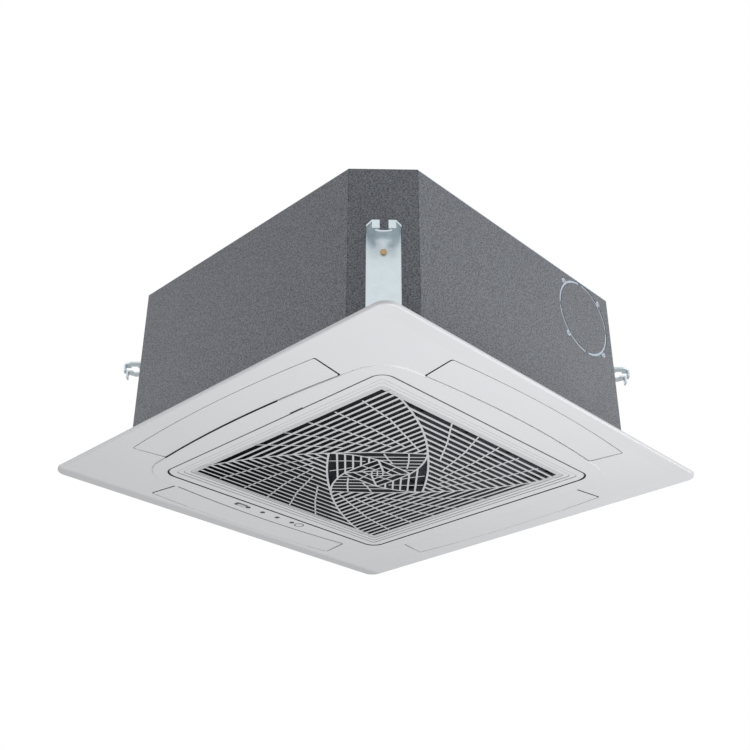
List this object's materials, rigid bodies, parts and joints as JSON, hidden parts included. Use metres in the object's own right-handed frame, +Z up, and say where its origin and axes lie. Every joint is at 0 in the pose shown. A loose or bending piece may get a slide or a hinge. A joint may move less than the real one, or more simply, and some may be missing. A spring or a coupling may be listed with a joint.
{
  "type": "ceiling cassette air conditioner",
  "caption": "Square ceiling unit that draws room air in through a whirl-patterned hinged grille and blows it out on every side past swinging louvers.",
  "frame": {"origin": "centre of the unit in the ceiling plane, on the back of the panel's rim", "axes": "+Z up into the ceiling void, X and Y along the sides; the fresh-air knockout faces +X, the refrigerant pipes +Y, the drain -X"},
  "size_m": [0.676, 0.676, 0.2802],
  "materials": {
    "cabinet_paint": "fine textured powder coat",
    "foam": "moulded foam",
    "zinc": "zinc plated, satin",
    "brass": "yellow passivated, satin",
    "aluminium_fins": "bare fins",
    "copper": "drawn tube",
    "grey_plastic": "moulded",
    "motor_paint": "smooth",
    "rubber": "moulded",
    "board_green": "solder mask",
    "panel_white": "semi-gloss moulding",
    "pin_plastic": "moulded",
    "filter_net": "woven net",
    "smoked": "smoked, glossy"
  },
  "bodies": {
    "unit": {"cabinet_shell": "cabinet_paint", "top_plate": "cabinet_paint", "insulation_liner": "foam", "hanger_bracket_1": "zinc", "hanger_bracket_2": "zinc", "hanger_bracket_3": "zinc", "hanger_bracket_4": "zinc", "bracket_screws": "brass", "coil_fin_pack": "aluminium_fins", "coil_end_plates": "zinc", "coil_return_bends": "copper", "drain_pan": "foam", "inlet_bell": "grey_plastic", "bell_screws": "zinc", "fan_motor": "motor_paint", "motor_mounts": "rubber", "motor_bolts": "zinc", "pump_bracket": "zinc", "drain_pump": "grey_plastic", "float_guide": "grey_plastic", "drain_hose": "rubber", "drain_outlet": "grey_plastic", "gas_pipe": "copper", "gas_union": "brass", "liquid_pipe": "copper", "liquid_union": "brass", "pipe_cover": "cabinet_paint", "cable_grommet": "rubber", "control_box": "zinc", "control_box_cover": "zinc", "circuit_board": "board_green", "terminal_block": "grey_plastic", "panel_frame": "panel_white", "outlet_frame": "panel_white", "intake_collar": "panel_white", "panel_gasket": "foam", "panel_screws": "zinc", "louver_motor_1": "motor_paint", "louver_motor_2": "motor_paint", "louver_motor_3": "motor_paint", "louver_motor_4": "motor_paint", "receiver_window": "smoked", "indicator_lenses": "smoked", "receiver_board": "board_green"},
    "fan": {"turbo_fan": "grey_plastic", "motor_shaft": "zinc", "fan_nut": "zinc"},
    "float": {"switch_float": "grey_plastic"},
    "grille": {"intake_grille": "panel_white", "grille_hinge_pins": "pin_plastic", "filter_frame": "grey_plastic", "filter_mesh": "filter_net"},
    "latch": {"grille_latch": "panel_white"},
    "button": {"test_button": "panel_white"},
    "louver_1": {"louver_1": "panel_white"},
    "louver_2": {"louver_2": "panel_white"},
    "louver_3": {"louver_3": "panel_white"},
    "louver_4": {"louver_4": "panel_white"}
  },
  "joints": [
    {"name": "fan_spin", "type": "hinge", "parent": "unit", "child": "fan", "pos_m": [0, 0, 0.15], "axis": [0, 0, 1], "continuous": true},
    {"name": "louver_1_swing", "type": "hinge", "parent": "unit", "child": "louver_1", "pos_m": [0.283, 0, 0.01], "axis": [0, 1, 0], "range_deg": [0, 50]},
    {"name": "louver_2_swing", "type": "hinge", "parent": "unit", "child": "louver_2", "pos_m": [0, 0.283, 0.01], "axis": [-1, 0, 0], "range_deg": [0, 50]},
    {"name": "louver_3_swing", "type": "hinge", "parent": "unit", "child": "louver_3", "pos_m": [-0.283, 0, 0.01], "axis": [0, -1, 0], "range_deg": [0, 50]},
    {"name": "louver_4_swing", "type": "hinge", "parent": "unit", "child": "louver_4", "pos_m": [0, -0.283, 0.01], "axis": [1, 0, 0], "range_deg": [0, 50]},
    {"name": "grille_swing", "type": "hinge", "parent": "unit", "child": "grille", "pos_m": [0, 0.206, -0.0008], "axis": [1, 0, 0], "range_deg": [0, 90]},
    {"name": "latch_slide", "type": "slide", "parent": "grille", "child": "latch", "axis": [0, 1, 0], "range_m": [0, 0.004], "stiffness_N_per_m": 400, "springref_m": -0.002},
    {"name": "button_press", "type": "slide", "parent": "unit", "child": "button", "axis": [0, 0, 1], "range_m": [0, 0.001], "stiffness_N_per_m": 300, "springref_m": -0.001},
    {"name": "float_rise", "type": "slide", "parent": "unit", "child": "float", "axis": [0, 0, 1], "range_m": [0, 0.012]}
  ]
}
